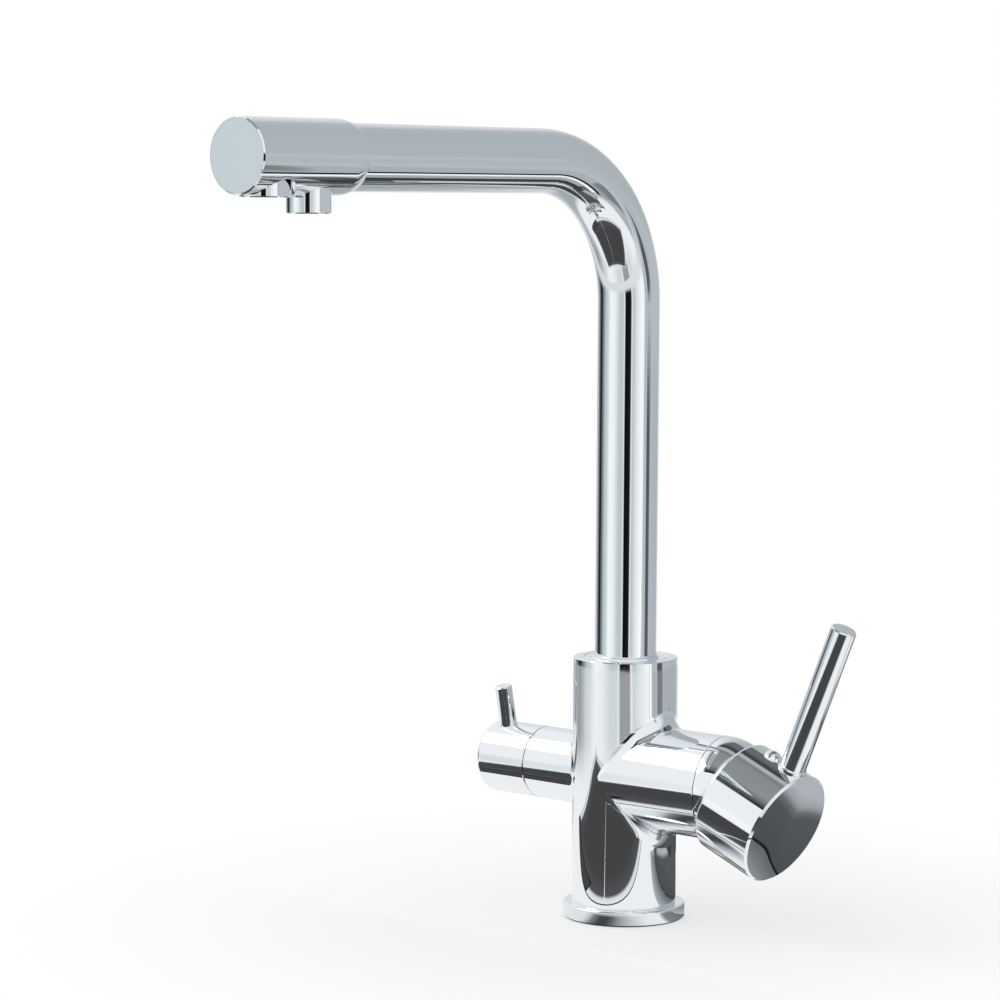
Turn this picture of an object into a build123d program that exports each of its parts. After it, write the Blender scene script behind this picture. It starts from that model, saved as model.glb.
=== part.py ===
"""Three way kitchen tap: hot and cold water through a mixer cartridge, filtered water through a valve.

Millimetres. The origin is the middle of the underside, on the deck. +Z is up, the spout points along
-Y, the mixer handle stands out along +X and the filter valve along -X. Both valves are modelled open.
"""

import os
from math import asin, cos, degrees, hypot, radians, sin, sqrt, tan

from build123d import *

# ---------------------------------------------------------------- clearances and edges
running_gap = 0.08  # between a turning piece and its bearing, on the radius
seat_gap = 0.05  # between a fixed piece and the bore that holds it, on the radius
end_gap = 0.2  # between the ends of pieces that mustn't press on each other
joint_gap = 0.3  # between the filter knob and its branch
dome_gap = 0.6  # between the mixer handle's pocket and the dome
edge_break = 0.4  # the chamfer on turned edges
seam_chamfer = 0.25  # the finer chamfer on both sides of a joint line

# ---------------------------------------------------------------- spout tube and its bearing
tube_radius = 12.6
tube_wall = 1.5
bush_wall = 2.4
bush_height = 14.6
spout_seal_section = 0.8
spout_foot_room = 3.5  # the space below the tube, where the mixed water enters
swivel_nut_step = 2.0
swivel_nut_height = 8.2
slide_ring_height = 0.9
slide_ring_width = 0.85

# ---------------------------------------------------------------- body and base
collar_wall = 4.3  # the body's wall round the swivel nut
branch_step = 0.2  # how much wider the barrel is than the mixer branch
valve_height = 58.6  # the branches' axis above the deck
collar_rise = 48.4  # the body's top above the branches' axis
foot_step = 1.8
mixer_web = 7.0  # the casting's rounding where the mixer branch leaves the barrel
filter_web = 3.0
flange_overhang = 3.7
flange_height = 5.4
flange_round = 0.8
gasket_show = 0.6  # how far the gasket stands out below the flange
gasket_depth = 1.4  # how deep the gasket sits in the flange
gasket_edge = 0.6  # the flange's lips beside the gasket

# ---------------------------------------------------------------- hose inlets, stud and water channels
inlet_thread_radius = 4.5
inlet_depth = 14.0
inlet_x = 3.0
inlet_y = 9.5
filter_inlet_wall = 5.0
stud_thread_radius = 3.4
stud_depth = 16.0
stud_wall = 2.6
waterway_radius = 3.0
waterway_wall = 2.0
cross_drill_radius = 2.6

# ---------------------------------------------------------------- spout
spout_rise = 200.6  # the horizontal run's axis above the body's top
bend_radius = 56.0
spout_reach = 221.6  # the flat end of the head
head_wall = 1.4  # how much thicker the head is than the tube
head_lip = 0.3
head_socket = 7.0  # how far the tube runs into the head
shoulder_length = 5.5
head_web = 3.2
head_chamfer = 0.5
channel_rise = 3.0  # the head's water channel above the head's axis
channel_gap = 0.3
end_rim = 0.2
end_disc_thickness = 1.5
end_plug_length = 4.0

# ---------------------------------------------------------------- filtered water tube and elbow
filter_tube_radius = 4.0
filter_tube_wall = 1.0
filter_tube_lift = 0.5  # the tube's lower end above its channel
filter_channel_radius = 1.8
filter_channel_web = 1.0
elbow_wall = 1.15
elbow_stem_radius = 3.8
elbow_stem_wall = 1.2
elbow_stem_drop = 2.5
elbow_stop = 1.0

# ---------------------------------------------------------------- outlets
main_outlet_radius = 9.35
main_outlet_drop = 14.7  # the lower rim below the head's axis
main_outlet_end_wall = 2.95
recess_gap = 2.0  # the gap round the main outlet
recess_depth = 6.3
filter_outlet_radius = 8.35
filter_outlet_drop = 20.5
outlet_web = 2.6
outlet_wall = 1.35
outlet_shelf = 1.5
outlet_shelf_drop = 0.8
outlet_lip = 0.5
outlet_lip_height = 0.8
outlet_seal_height = 1.2
outlet_seal_width = 1.2
aerator_wall = 1.0
aerator_plate = 1.2
aerator_hole_radius = 0.5
aerator_hole_pitch = 1.7
aerator_hole_edge = 0.3

# ---------------------------------------------------------------- mixer branch and cartridge
mixer_reach = 51.0  # the branch's end, and the handle's pivot
branch_wall = 2.1
cartridge_radius = 17.5
cartridge_wall = 3.5
cartridge_base = 2.4
cartridge_cover = 2.0
cartridge_shoulder = 5.0  # the case's shoulder behind the pivot
cartridge_neck_wall = 3.4
cartridge_neck_end = 0.5
port_radius = 2.3
port_side = 5.5
port_rise = 4.8
outlet_port_drop = 4.2
port_seal_width = 1.0
port_seal_height = 1.0
port_seal_depth = 0.6
disc_thickness = 3.0
disc_room = 0.12
mixing_pocket_radius = 6.4
mixing_pocket_depth = 1.5
carrier_floor = 0.8
ball_room = 0.4
ball_depth = 1.0
ball_gap = 0.3
lower_ball_radius = 2.3
lower_arm_radius = 2.0
rotor_flange_height = 4.0
rotor_end = 2.5
rotor_wall = 0.8
slot_room = 0.25
slot_gap = 0.1
pivot_pin_radius = 1.5
pin_hole_gap = 0.02
spindle_width = 7.0
spindle_end = 24.2
spindle_back = 5.0
nut_step = 1.5
nut_height = 4.8
nut_collar_height = 5.2
dome_wall = 1.8
dome_ledge = 1.6
dome_seam = 0.25
dome_room = 6.0  # degrees

# ---------------------------------------------------------------- mixer handle, from its pivot
open_tilt = 22.4  # how far the open handle leans, in degrees
cap_rim = 5.7
cap_wall = 1.8
cap_end_wall = 11.7
cap_back_round = 1.5
cap_front_chamfer = 0.9
cap_crown = 0.7  # how far the middle of the cap's face stands out
hub_wall = 1.55
hub_start = 12.5
lever_setback = 6.9
lever_radius = 5.2
lever_top = 85.8
lever_chamfer = 0.5
lever_spigot_radius = 3.0
lever_spigot_length = 7.5
lever_ring_width = 0.7
lever_ring_height = 2.0
plug_radius = 3.9
plug_height = 2.9
plug_stem_length = 3.5
plug_space = 0.3  # between the plug and the lever's ring
screw_radius = 2.0
screw_hex = 2.0
screw_hex_depth = 2.0
screw_room = 1.5
seat_depth = 0.12  # how far a flat seat lies below the round surface's edge

# ---------------------------------------------------------------- filter valve, out from the body's axis
filter_wall = 3.8
filter_chamber_radius = 8.35
filter_chamber_floor = 16.0
filter_washer_height = 1.0
filter_skirt_gap = 0.95
filter_skirt_wall = 1.4
filter_disc_thickness = 2.2
filter_port_radius = 1.5
filter_port_rise = 3.0
filter_flange_height = 4.5
filter_flange_slot = 3.0
filter_flange_web = 1.8
filter_shoulder_length = 2.0
filter_window_width = 6.0
filter_thread_length = 6.2
filter_hex = 17.0
filter_hex_height = 5.0
filter_hex_room = 1.2
filter_end_room = 3.4
filter_shaft_radius = 4.0
filter_seal_section = 0.7
filter_square = 5.6
filter_square_start = 1.4  # beyond the branch's end
knob_length = 25.4
knob_round = 1.6
knob_wall = 3.3
knob_recess_depth = 3.0
knob_screw_setback = 8.9
knob_screw_length = 8.5
knob_web = 1.4
pin_setback = 7.9
pin_radius = 3.5
pin_top = 31.5
pin_chamfer = 0.4
pin_spigot_radius = 2.0
pin_spigot_length = 6.0
pin_lean = 11.9  # how far the open lever leans forward, in degrees

# ---------------------------------------------------------------- worked out: body and spout
chamber_radius = tube_radius + bush_wall
swivel_nut_radius = chamber_radius + swivel_nut_step
nut_radius = cartridge_radius + nut_step
mixer_radius = nut_radius + branch_wall
body_radius = max(swivel_nut_radius + collar_wall, mixer_radius + branch_step)
foot_radius = body_radius - foot_step
flange_radius = body_radius + flange_overhang
flange_top = gasket_show + flange_height
body_height = valve_height + collar_rise
swivel_nut_low = body_height - swivel_nut_height
bush_top = swivel_nut_low - end_gap
bush_low = bush_top - bush_height
chamber_floor = bush_low - spout_foot_room
spout_height = body_height + spout_rise
head_radius = tube_radius + head_wall
elbow_radius = filter_tube_radius + seat_gap + elbow_wall
channel_radius = channel_rise + elbow_radius + channel_gap
end_disc_radius = head_radius - head_chamfer - end_rim
recess_radius = main_outlet_radius + recess_gap
main_outlet_reach = spout_reach - main_outlet_end_wall - recess_radius
filter_outlet_reach = main_outlet_reach - recess_radius - outlet_web - filter_outlet_radius
tube_end = filter_outlet_reach - filter_outlet_radius - head_web
head_start = tube_end - head_socket
outlet_top = channel_rise - channel_radius - outlet_shelf_drop
elbow_tube_end = filter_outlet_reach - elbow_stem_radius - elbow_stop

# ---------------------------------------------------------------- worked out: mixer
tilt = radians(open_tilt)
lean = radians(pin_lean)
cavity_radius = cartridge_radius - cartridge_wall
rotor_flange_end = cartridge_shoulder + cartridge_cover + end_gap
carrier_front = rotor_flange_end + rotor_flange_height + end_gap
carrier_height = ball_depth + lower_ball_radius + ball_room + carrier_floor
moving_disc_front = carrier_front + carrier_height
fixed_disc_front = moving_disc_front + disc_thickness
fixed_disc_back = fixed_disc_front + disc_thickness
cartridge_back = fixed_disc_back + cartridge_base
cartridge_floor = cartridge_back + port_seal_height - port_seal_depth
lower_arm_length = carrier_front + ball_depth
disc_travel = lower_arm_length * sin(tilt)
moving_disc_radius = cavity_radius - disc_travel / 2 - disc_room
slot_half_width = spindle_width / 2 + slot_gap
slot_above = disc_travel + lower_arm_radius / cos(tilt) + slot_room
slot_below = rotor_end * tan(tilt) + spindle_width / 2 / cos(tilt) + slot_room
rotor_neck_radius = hypot(slot_half_width, slot_above) + rotor_wall
pivot_pin_half = sqrt(rotor_neck_radius**2 - pivot_pin_radius**2) - slot_room
cartridge_neck_radius = rotor_neck_radius + running_gap + cartridge_neck_wall
nut_collar_end = nut_height + nut_collar_height - cartridge_shoulder
dome_inner_radius = mixer_radius - dome_wall
dome_bore_end = nut_collar_end + end_gap
dome_bore_radius = sqrt(dome_inner_radius**2 - dome_bore_end**2) - dome_ledge
hub_radius = hypot(spindle_width / 2 + seat_gap, spindle_width / 2 + seat_gap) + hub_wall
dome_opening = tilt + asin(hub_radius / dome_inner_radius) + radians(dome_room)
pocket_radius = mixer_radius + dome_gap
cap_radius = pocket_radius + cap_wall
cap_end = pocket_radius + cap_end_wall
lever_place = cap_end - lever_setback
lever_ring_radius = lever_radius + lever_ring_width
screw_place = lever_place - lever_ring_radius - plug_space - plug_radius - 2 * seat_gap
lever_seat = sqrt(cap_radius**2 - (lever_ring_radius + seat_gap) ** 2) - seat_depth
plug_seat = sqrt(cap_radius**2 - (plug_radius + seat_gap) ** 2) - seat_depth
pivot = Vector(mixer_reach, 0, valve_height)

# ---------------------------------------------------------------- worked out: filter valve
filter_disc_start = filter_chamber_floor + filter_washer_height
filter_flange_start = filter_disc_start + 2 * filter_disc_thickness
filter_flange_end = filter_flange_start + filter_flange_height
filter_window_place = filter_flange_start + filter_flange_height / 2
filter_thread_start = filter_flange_end + filter_shoulder_length
filter_hex_start = filter_thread_start + filter_thread_length
filter_hex_end = filter_hex_start + filter_hex_height
filter_reach = filter_hex_end + filter_end_room
filter_seal_place = (filter_thread_start + filter_hex_end) / 2
filter_skirt_radius = filter_chamber_radius - filter_skirt_gap
filter_skirt_bore = filter_skirt_radius - filter_skirt_wall
filter_recess_radius = filter_hex / 2 / cos(radians(30)) + filter_hex_room
filter_radius = filter_recess_radius + filter_wall
filter_channel_height = valve_height + filter_chamber_radius + filter_channel_web + filter_channel_radius
filter_socket_floor = filter_channel_height - filter_channel_radius - filter_tube_lift
filter_tube_low = filter_channel_height + filter_channel_radius + filter_tube_lift
knob_start = filter_reach + joint_gap
knob_end = knob_start + knob_length
pin_place = knob_end - pin_setback
knob_screw_place = pin_place - knob_screw_setback
square_start = filter_reach + filter_square_start
square_end = pin_place - pin_spigot_radius - knob_web
pin_seat = sqrt(filter_radius**2 - (pin_radius + seat_gap) ** 2) - seat_depth

# ---------------------------------------------------------------- directions
up = Vector(0, 0, 1)
sideways = Vector(0, 1, 0)
outward = Vector(1, 0, 0)
forward = Vector(0, -1, 0)
handle_out = Vector(cos(tilt), 0, -sin(tilt))
handle_up = Vector(sin(tilt), 0, cos(tilt))
knob_up = Vector(0, -sin(lean), cos(lean))


# ---------------------------------------------------------------- places
def in_mixer(distance, side=0.0, rise=0.0):
    """A point in the mixer branch, counted outward from the handle's pivot."""
    return pivot + Vector(distance, side, rise)


def in_filter(distance, rise=0.0):
    """A point in the filter branch, counted out from the body's axis."""
    return Vector(-distance, 0, valve_height + rise)


def in_spout(distance, rise=0.0, side=0.0):
    """A point on the spout's horizontal run, counted forward from the body's axis."""
    return Vector(side, -distance, spout_height + rise)


def in_handle(distance, rise=0.0):
    """A point in the open handle, counted from its pivot along its own axis and square to it."""
    return pivot + handle_out * distance + handle_up * rise


def in_knob(distance, rise=0.0):
    """A point in the filter knob, counted from the body's axis and along the leaning lever."""
    return in_filter(distance) + knob_up * rise


# ---------------------------------------------------------------- shapes
def bar(radius, start, end):
    """A round bar from one point to another."""
    start, end = Vector(start), Vector(end)
    frame = Plane(origin=start, z_dir=end - start)
    return frame * Cylinder(radius, (end - start).length, align=(Align.CENTER, Align.CENTER, Align.MIN))


def upright_bar(radius, low, high, x=0.0, y=0.0):
    return bar(radius, (x, y, low), (x, y, high))


def mixer_bar(radius, start, end, side=0.0, rise=0.0):
    return bar(radius, in_mixer(start, side, rise), in_mixer(end, side, rise))


def filter_bar(radius, start, end, rise=0.0):
    return bar(radius, in_filter(start, rise), in_filter(end, rise))


def spout_bar(radius, start, end, rise=0.0):
    return bar(radius, in_spout(start, rise), in_spout(end, rise))


def outlet_bar(radius, reach, low, high, side=0.0):
    """An upright bar under the spout, with its ends counted from the head's axis."""
    return bar(radius, in_spout(reach, low, side), in_spout(reach, high, side))


def handle_bar(radius, start, end):
    return bar(radius, in_handle(start), in_handle(end))


def handle_post(radius, place, low, high):
    """A bar square to the handle's axis."""
    return bar(radius, in_handle(place, low), in_handle(place, high))


def knob_post(radius, place, low, high):
    """A bar square to the knob's axis, along its lever."""
    return bar(radius, in_knob(place, low), in_knob(place, high))


def square_bar(width, start, end, across):
    """A square bar from one point to another, with one pair of sides square to a direction."""
    frame = Plane(origin=start, x_dir=across, z_dir=end - start)
    return frame * Box(width, width, (end - start).length, align=(Align.CENTER, Align.CENTER, Align.MIN))


def hex_bar(across_flats, start, end):
    frame = Plane(origin=start, z_dir=end - start)
    outline = RegularPolygon(across_flats / 2, 6, major_radius=False)
    return extrude(frame * outline, (end - start).length)


def turned(outline, base, direction):
    """Turn a closed outline, drawn as (distance along, radius), about an axis."""
    normal = direction.cross(up)
    return revolve(Plane(origin=base, x_dir=direction, z_dir=normal) * make_face(outline), Axis(base, direction))


def rims(solid, radius, centre, direction):
    """The round edges of one radius whose centre lies level with a point, along a direction."""

    def matches(edge):
        return abs(edge.radius - radius) < 0.01 and abs((edge.arc_center - centre).dot(direction)) < 0.01

    return solid.edges().filter_by(GeomType.CIRCLE).filter_by(matches)


def bent_tube(radius, wall, low, reach):
    """A tube that rises along the body's axis, bends once and runs out to the front."""
    bend_start = spout_height - bend_radius
    bend_axis = Axis((0, -bend_radius, bend_start), (1, 0, 0))

    def rod(size):
        bend = revolve(Plane.XY.offset(bend_start) * Circle(size), axis=bend_axis, revolution_arc=90)
        return upright_bar(size, low, bend_start) + bend + spout_bar(size, bend_radius, reach)

    return rod(radius) - rod(radius - wall)


# ---------------------------------------------------------------- base
def gasket_radii():
    return foot_radius + seat_gap + gasket_edge, flange_radius - gasket_edge


def make_flange():
    flange = upright_bar(flange_radius, gasket_show, flange_top)
    flange = fillet(rims(flange, flange_radius, Vector(0, 0, flange_top), up), flange_round)
    inner, outer = gasket_radii()
    gasket_top = gasket_show + gasket_depth
    groove = upright_bar(outer, gasket_show, gasket_top) - upright_bar(inner, gasket_show, gasket_top)
    return flange - groove - upright_bar(foot_radius + seat_gap, gasket_show, flange_top)


def make_gasket():
    inner, outer = gasket_radii()
    top = gasket_show + gasket_depth
    return upright_bar(outer - seat_gap, 0, top) - upright_bar(inner + seat_gap, 0, top)


# ---------------------------------------------------------------- body
def make_body():
    """The casting: the barrel, its foot and the two branches, with every bore and water channel."""
    barrel = upright_bar(body_radius, flange_top, body_height)
    barrel = chamfer(rims(barrel, body_radius, Vector(0, 0, body_height), up), edge_break)
    barrel = chamfer(rims(barrel, body_radius, Vector(0, 0, flange_top), up), seam_chamfer)
    mixer_branch = mixer_bar(mixer_radius, -mixer_reach, 0)
    mixer_branch = chamfer(rims(mixer_branch, mixer_radius, pivot, outward), seam_chamfer)
    filter_branch = filter_bar(filter_radius, 0, filter_reach)
    filter_branch = chamfer(rims(filter_branch, filter_radius, in_filter(filter_reach), outward), seam_chamfer)
    body = barrel + mixer_branch + filter_branch
    body = fillet(branch_joins(body, outward), mixer_web)
    body = fillet(branch_joins(body, -outward), filter_web)
    body = body + upright_bar(foot_radius, 0, flange_top)

    body = body - [
        upright_bar(chamber_radius, chamber_floor, body_height),
        upright_bar(swivel_nut_radius + seat_gap, swivel_nut_low, body_height),
        upright_bar(filter_tube_radius + running_gap, filter_socket_floor, chamber_floor),
        mixer_bar(cartridge_radius + seat_gap, -cartridge_floor, 0),
        mixer_bar(nut_radius + seat_gap, -cartridge_shoulder, 0),
        filter_bar(filter_chamber_radius, filter_chamber_floor, filter_reach),
        filter_bar(filter_recess_radius, filter_hex_start - end_gap, filter_reach),
    ]
    body = body - make_supply_channels() - make_mixed_channel() - make_filter_channels()
    mouth = rims(body, swivel_nut_radius + seat_gap, Vector(0, 0, body_height), up)
    return chamfer(mouth, edge_break)


def branch_joins(body, direction):
    """The curves where a branch leaves the barrel, on the side that a direction points to."""

    def is_join(edge):
        return edge.geom_type not in (GeomType.CIRCLE, GeomType.LINE) and edge.center().dot(direction) > 0

    return body.edges().filter_by(is_join)


def make_supply_channels():
    """The two threaded supply inlets with their channels to the cartridge, and the stud's hole."""
    cuts = [upright_bar(stud_thread_radius, 0, stud_depth, foot_radius - stud_wall - stud_thread_radius)]
    height = valve_height + port_rise
    for sign in (-1, 1):
        y = sign * inlet_y
        cuts.append(upright_bar(inlet_thread_radius, 0, inlet_depth, inlet_x, y))
        cuts.append(upright_bar(waterway_radius, inlet_depth, height, inlet_x, y))
        mouth = in_mixer(port_seal_height - cartridge_floor, sign * port_side, port_rise)
        cuts.append(bar(cross_drill_radius, (inlet_x, y, height), mouth))
    return cuts


def make_mixed_channel():
    """From the cartridge's outlet port up into the spout's chamber."""
    x = chamber_radius - waterway_wall - waterway_radius
    height = valve_height - outlet_port_drop
    drill = bar(cross_drill_radius, (x, 0, height), in_mixer(-cartridge_floor, 0, -outlet_port_drop))
    return [drill, upright_bar(waterway_radius, height, chamber_floor, x)]


def make_filter_channels():
    """The filtered water's inlet, its way into the valve, and its way out to the tube in the spout."""
    x = foot_radius - filter_inlet_wall - inlet_thread_radius
    return [
        upright_bar(inlet_thread_radius, 0, inlet_depth, -x),
        upright_bar(waterway_radius, inlet_depth, valve_height, -x),
        filter_bar(cross_drill_radius, x, filter_chamber_floor),
        upright_bar(filter_channel_radius, valve_height, filter_channel_height, -filter_window_place),
        bar(
            filter_channel_radius,
            (-filter_window_place, 0, filter_channel_height),
            (0, 0, filter_channel_height),
        ),
    ]


# ---------------------------------------------------------------- spout bearing
def make_swivel_nut():
    nut = upright_bar(swivel_nut_radius, swivel_nut_low, body_height)
    nut = chamfer(rims(nut, swivel_nut_radius, Vector(0, 0, body_height), up), edge_break)
    return nut - upright_bar(tube_radius + running_gap, swivel_nut_low, body_height)


def make_slide_ring():
    radius = tube_radius + slide_ring_width
    top = body_height + slide_ring_height
    washer = upright_bar(radius, body_height, top)
    washer = fillet(rims(washer, radius, Vector(0, 0, top), up), slide_ring_height / 3)
    return washer - upright_bar(tube_radius + running_gap, body_height, top)


def seal_heights():
    third = bush_height / 3
    return bush_low + third, bush_top - third


def make_spout_bush():
    outer = chamber_radius - running_gap
    bush = upright_bar(outer, bush_low, bush_top) - upright_bar(tube_radius + seat_gap, bush_low, bush_top)
    half = spout_seal_section + seat_gap
    for height in seal_heights():
        groove = upright_bar(outer + end_gap, height - half, height + half)
        bush = bush - (groove - upright_bar(outer - 2 * spout_seal_section, height - half, height + half))
    return bush


def make_spout_seals():
    middle = chamber_radius - running_gap - spout_seal_section
    return Compound([Pos(0, 0, height) * Torus(middle, spout_seal_section) for height in seal_heights()])


# ---------------------------------------------------------------- spout
def make_spout_head():
    """The thick end of the spout: a round shoulder, a chamfered end, and two ports below."""
    start = (head_start, tube_radius + head_lip)
    end = (head_start + shoulder_length, head_radius)
    shoulder = TangentArc(end, start, tangent=(-1, 0))
    rest = Polyline(
        end,
        (spout_reach - head_chamfer, head_radius),
        (spout_reach, head_radius - head_chamfer),
        (spout_reach, 0),
        (head_start, 0),
        start,
    )
    head = turned([shoulder, rest], in_spout(0), forward)
    return head - [
        spout_bar(tube_radius + seat_gap, head_start, tube_end),
        spout_bar(channel_radius, tube_end, spout_reach, channel_rise),
        spout_bar(end_disc_radius + seat_gap, spout_reach - end_disc_thickness, spout_reach),
        outlet_bar(recess_radius, main_outlet_reach, -2 * head_radius, recess_depth - head_radius),
        outlet_bar(main_outlet_radius + seat_gap, main_outlet_reach, -head_radius, outlet_top),
        outlet_bar(outlet_port(main_outlet_radius), main_outlet_reach, -head_radius, 0),
        outlet_bar(filter_outlet_radius + seat_gap, filter_outlet_reach, -2 * head_radius, outlet_top),
        outlet_bar(elbow_stem_radius + seat_gap, filter_outlet_reach, -head_radius, 0),
    ]


def outlet_port(radius):
    """The hole above an outlet sleeve, which leaves a shelf for the seal."""
    return radius - outlet_wall - outlet_shelf


def make_end_disc():
    seat = spout_reach - end_disc_thickness
    disc = spout_bar(end_disc_radius, seat, spout_reach)
    return disc + spout_bar(channel_radius - seat_gap, seat - end_plug_length, seat, channel_rise)


def make_filter_elbow():
    """Takes the filtered water tube and turns its water down into the filter outlet."""
    back = tube_end + end_gap
    front = filter_outlet_reach + elbow_stem_radius + elbow_stop
    stem_low = outlet_top - elbow_stem_drop
    elbow = spout_bar(elbow_radius, back, front)
    elbow = elbow + outlet_bar(elbow_stem_radius, filter_outlet_reach, stem_low, 0)
    return elbow - [
        spout_bar(filter_tube_radius + seat_gap, back, elbow_tube_end),
        spout_bar(filter_tube_radius - filter_tube_wall, back, filter_outlet_reach),
        outlet_bar(elbow_stem_radius - elbow_stem_wall, filter_outlet_reach, stem_low, 0),
    ]


# ---------------------------------------------------------------- outlets
def make_outlet_sleeve(reach, radius, drop):
    top = outlet_top - seat_gap
    sleeve = outlet_bar(radius, reach, -drop, top)
    sleeve = chamfer(rims(sleeve, radius, in_spout(reach, -drop), up), edge_break)
    bore = radius - outlet_wall
    sleeve = sleeve - outlet_bar(bore, reach, outlet_lip_height - drop, top)
    return sleeve - outlet_bar(bore - outlet_lip, reach, -drop, top)


def aerator_levels(drop):
    """The aerator's lower and upper ends: on the sleeve's lip, and under the seal."""
    return outlet_lip_height - drop, outlet_top - seat_gap - outlet_seal_height


def make_aerator(reach, radius, drop):
    """The insert that mixes air into the jet: a cup with a perforated floor."""
    outer = radius - outlet_wall - seat_gap
    low, high = aerator_levels(drop)
    floor_top = low + aerator_plate
    cup = outlet_bar(outer, reach, low, high) - outlet_bar(outer - aerator_wall, reach, floor_top, high)
    holes = []
    for step, side in hole_places(outer - aerator_wall - aerator_hole_radius - aerator_hole_edge):
        holes.append(outlet_bar(aerator_hole_radius, reach + step, low, floor_top, side))
    return cup - holes


def hole_places(limit):
    """The places of a honeycomb of holes inside a circle."""
    row_pitch = aerator_hole_pitch * sin(radians(60))
    count = int(limit / row_pitch)
    places = []
    for row in range(-count, count + 1):
        for column in range(-count, count + 1):
            side = (column + (row % 2) / 2) * aerator_hole_pitch
            if hypot(row * row_pitch, side) < limit:
                places.append((row * row_pitch, side))
    return places


def make_outlet_seal(reach, radius, drop):
    outer = radius - outlet_wall - seat_gap
    low = aerator_levels(drop)[1]
    high = low + outlet_seal_height
    return outlet_bar(outer, reach, low, high) - outlet_bar(outer - outlet_seal_width, reach, low, high)


# ---------------------------------------------------------------- mixer cartridge
def port_places():
    """Both supply ports above, and the outlet port below."""
    return (-port_side, port_rise), (port_side, port_rise), (0.0, -outlet_port_drop)


def make_cartridge_case():
    case = mixer_bar(cartridge_radius, -cartridge_back, -cartridge_shoulder)
    case = case + mixer_bar(cartridge_neck_radius, -cartridge_shoulder, cartridge_neck_end)
    case = case - mixer_bar(cavity_radius, -fixed_disc_back, -cartridge_shoulder - cartridge_cover)
    case = case - mixer_bar(rotor_neck_radius + running_gap, -fixed_disc_back, cartridge_neck_end)
    for side, rise in port_places():
        case = case - mixer_bar(port_radius, -cartridge_back, -fixed_disc_back, side, rise)
        seat_end = port_seal_depth - cartridge_back
        case = case - mixer_bar(port_radius + port_seal_width, -cartridge_back, seat_end, side, rise)
    return case


def make_cartridge_seals():
    seals = []
    end = port_seal_height - cartridge_floor
    for side, rise in port_places():
        outer = port_radius + port_seal_width - seat_gap
        seal = mixer_bar(outer, -cartridge_floor, end, side, rise)
        seals.append(seal - mixer_bar(port_radius, -cartridge_floor, end, side, rise))
    return Compound(seals)


def make_fixed_disc():
    disc = mixer_bar(cavity_radius - seat_gap, -fixed_disc_back, -fixed_disc_front)
    for side, rise in port_places():
        disc = disc - mixer_bar(port_radius, -fixed_disc_back, -fixed_disc_front, side, rise)
    return disc


def make_moving_disc():
    """Slides over the ports. A pocket in its back joins the supply ports to the outlet port."""
    rise = disc_travel / 2
    disc = mixer_bar(moving_disc_radius, -fixed_disc_front, -moving_disc_front, rise=rise)
    pocket_end = mixing_pocket_depth - fixed_disc_front
    return disc - mixer_bar(mixing_pocket_radius, -fixed_disc_front, pocket_end, rise=rise)


def make_disc_carrier():
    """Rides on the moving disc. The spindle's ball stands in its socket and slides it."""
    carrier = mixer_bar(moving_disc_radius, -moving_disc_front, -carrier_front, rise=disc_travel / 2)
    socket_floor = carrier_floor - moving_disc_front
    return carrier - mixer_bar(lower_ball_radius + ball_gap, socket_floor, -carrier_front, rise=disc_travel)


def make_rotor():
    """Turns in the case's neck and carries the handle's pivot pin."""
    back = -rotor_flange_end - rotor_flange_height
    rotor = mixer_bar(cavity_radius - end_gap, back, -rotor_flange_end)
    rotor = rotor + mixer_bar(rotor_neck_radius, -rotor_flange_end, rotor_end)
    slot = Box(
        rotor_end - back,
        2 * slot_half_width,
        slot_below + slot_above,
        align=(Align.MIN, Align.CENTER, Align.MIN),
    )
    rotor = rotor - Pos(in_mixer(back, 0, -slot_below)) * slot
    return rotor - cross_pin(pivot_pin_radius + pin_hole_gap, rotor_neck_radius)


def cross_pin(radius, half):
    """A bar through the handle's pivot."""
    return bar(radius, in_mixer(0, -half), in_mixer(0, half))


def make_spindle():
    """The lever inside the cartridge: a square end for the handle, a pivot eye and a ball below."""
    spindle = square_bar(spindle_width, in_handle(-spindle_back), in_handle(spindle_end), sideways)
    spindle = spindle + handle_bar(lower_arm_radius, -lower_arm_length, -spindle_back)
    spindle = spindle + Pos(in_handle(-lower_arm_length)) * Sphere(lower_ball_radius)
    return spindle - cross_pin(pivot_pin_radius + seat_gap, spindle_width)


def make_cartridge_nut():
    """Screwed into the branch on the cartridge's shoulder. Its collar carries the dome."""
    start = -cartridge_shoulder
    nut = mixer_bar(nut_radius, start, start + nut_height)
    nut = nut + mixer_bar(dome_bore_radius - seat_gap, start + nut_height, nut_collar_end)
    return nut - mixer_bar(cartridge_neck_radius + seat_gap, start, nut_collar_end)


def make_dome():
    """The polished dome over the cartridge, on which the handle tilts."""

    def at_distance(radius, along):
        return along, sqrt(radius**2 - along**2)

    def at_angle(radius, angle):
        return radius * cos(angle), radius * sin(angle)

    foot = at_distance(mixer_radius, dome_seam + seam_chamfer)
    bore_foot = (dome_seam, dome_bore_radius)
    shoulder = at_distance(dome_inner_radius, dome_bore_end)
    middle = (dome_opening + radians(70)) / 2
    outline = [
        Polyline(bore_foot, (dome_seam, foot[1] - seam_chamfer), foot),
        ThreePointArc(foot, at_angle(mixer_radius, middle), at_angle(mixer_radius, dome_opening)),
        Line(at_angle(mixer_radius, dome_opening), at_angle(dome_inner_radius, dome_opening)),
        ThreePointArc(at_angle(dome_inner_radius, dome_opening), at_angle(dome_inner_radius, middle), shoulder),
        Polyline(shoulder, (dome_bore_end, dome_bore_radius), bore_foot),
    ]
    return turned(outline, pivot, outward)


# ---------------------------------------------------------------- mixer handle
def crown_radius(rim_radius, height):
    """The radius of the ball that a low crown over a round rim is part of."""
    return (rim_radius**2 + height**2) / (2 * height)


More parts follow.
